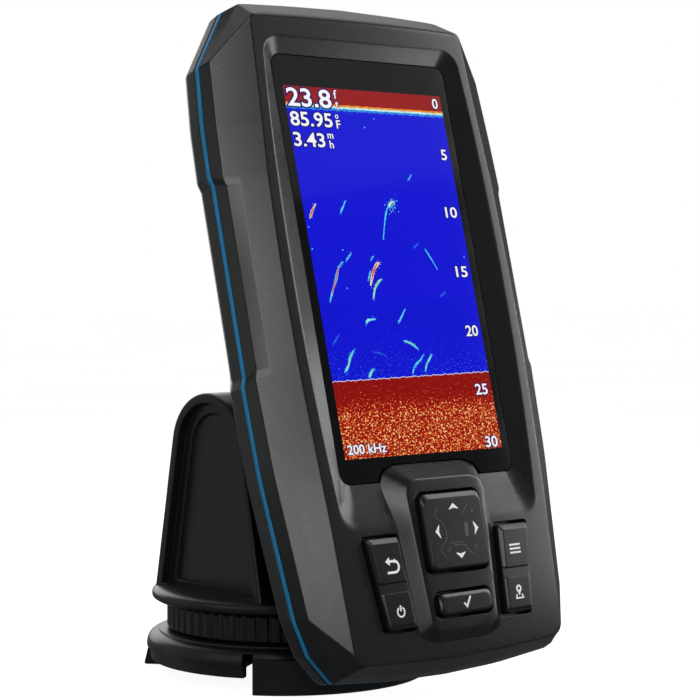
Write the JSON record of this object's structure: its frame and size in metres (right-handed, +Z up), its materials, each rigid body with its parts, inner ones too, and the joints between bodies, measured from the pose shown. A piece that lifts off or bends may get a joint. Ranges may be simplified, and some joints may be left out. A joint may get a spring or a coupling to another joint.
{
  "type": "fish finder",
  "caption": "Portrait fish finder with a keypad below its screen, clipped to a tilting cradle on a tower that swivels on a round base with a locking ring.",
  "frame": {"origin": "on the swivel axis at floor level, at the middle of the base's resting face", "axes": "+X to the right as the user faces the screen, +Y away from the user, +Z up"},
  "size_m": [0.0984, 0.109, 0.1751],
  "materials": {
    "housing_plastic": "fine-grained dark charcoal",
    "key_plastic": "smooth satin charcoal with light printed symbols",
    "mount_plastic": "fine-grained black",
    "accent_blue": "satin blue",
    "lens_glass": "clear window with a glossy black border",
    "screen_layer": "lit colour display",
    "seal_rubber": "matte black",
    "board_green": "green solder mask",
    "steel": "plain bright",
    "ceramic": "unglazed ceramic",
    "backlight_white": "white diffuser",
    "ferrite": "dark sintered ferrite"
  },
  "bodies": {
    "base": {"swivel_base": "mount_plastic", "bearing_ring": "seal_rubber", "swivel_screw": "steel", "swivel_washer": "steel"},
    "lock_ring": {"swivel_lock_ring": "mount_plastic"},
    "tower": {"tower": "mount_plastic", "tilt_bolt": "steel", "tilt_nut": "steel", "tilt_washer_left": "seal_rubber", "tilt_washer_right": "seal_rubber"},
    "unit": {"accent_trim": "accent_blue", "backlight": "backlight_white", "board_screw_1": "steel", "board_screw_2": "steel", "board_screw_3": "steel", "board_screw_4": "steel", "buzzer": "mount_plastic", "case_screw_1": "steel", "case_screw_2": "steel", "case_screw_3": "steel", "case_screw_4": "steel", "case_screw_5": "steel", "case_screw_6": "steel", "cradle": "mount_plastic", "display_lens": "lens_glass", "dome_back": "steel", "dome_down": "steel", "dome_left": "steel", "dome_mark": "steel", "dome_menu": "steel", "dome_power": "steel", "dome_right": "steel", "dome_select": "steel", "dome_up": "steel", "front_housing": "housing_plastic", "gps_antenna": "ceramic", "housing_seal": "seal_rubber", "keypad_board": "board_green", "latch_pin": "steel", "lcd_chassis": "steel", "lcd_panel": "screen_layer", "lens_bond": "seal_rubber", "main_board": "board_green", "rear_housing": "housing_plastic", "socket_insert": "seal_rubber", "socket_nut": "mount_plastic", "socket_seal": "seal_rubber", "socket_shell": "mount_plastic", "sonar_shield_can": "steel", "sonar_transformer": "ferrite"},
    "release_latch": {"release_latch": "mount_plastic"},
    "dpad_gimbal": {"dpad_pivot": "key_plastic"},
    "dpad": {"dpad_key": "key_plastic"},
    "menu_mark_rocker": {"menu_mark_rocker": "key_plastic"},
    "back_power_rocker": {"back_power_rocker": "key_plastic"},
    "select_key": {"select_key": "key_plastic"}
  },
  "joints": [
    {"name": "base_swivel", "type": "hinge", "parent": "base", "child": "tower", "pos_m": [0, 0, 0.0155], "axis": [0, 0, 1], "range_deg": [-170, 170]},
    {"name": "lock_ring_turn", "type": "hinge", "parent": "base", "child": "lock_ring", "pos_m": [0, 0, 0.0155], "axis": [0, 0, 1], "range_deg": [0, 60]},
    {"name": "screen_tilt", "type": "hinge", "parent": "tower", "child": "unit", "pos_m": [0, 0, 0.0608], "axis": [-1, 0, 0], "range_deg": [-2.5, 35]},
    {"name": "latch_release", "type": "hinge", "parent": "unit", "child": "release_latch", "pos_m": [0, 0.00137, 0.10266], "axis": [1, 0, 0], "range_deg": [0, 3], "stiffness_Nm_per_rad": 0.5, "springref_deg": -2.86},
    {"name": "dpad_up_down", "type": "hinge", "parent": "unit", "child": "dpad_gimbal", "pos_m": [0, -0.05749, 0.04169], "axis": [1, 0, 0], "range_deg": [-2.5, 2.5], "stiffness_Nm_per_rad": 0.3},
    {"name": "dpad_left_right", "type": "hinge", "parent": "dpad_gimbal", "child": "dpad", "pos_m": [0, -0.05749, 0.04169], "axis": [0, 0.2467, 0.9691], "range_deg": [-2.5, 2.5], "stiffness_Nm_per_rad": 0.3},
    {"name": "menu_mark_rock", "type": "hinge", "parent": "unit", "child": "menu_mark_rocker", "pos_m": [0, -0.06045, 0.03006], "axis": [1, 0, 0], "range_deg": [-3, 3], "stiffness_Nm_per_rad": 0.25},
    {"name": "back_power_rock", "type": "hinge", "parent": "unit", "child": "back_power_rocker", "pos_m": [0, -0.06045, 0.03006], "axis": [1, 0, 0], "range_deg": [-3, 3], "stiffness_Nm_per_rad": 0.25},
    {"name": "select_press", "type": "slide", "parent": "unit", "child": "select_key", "axis": [0, 0.9691, -0.2467], "range_m": [0, 0.0005], "stiffness_N_per_m": 1200, "springref_m": -0.0003}
  ]
}
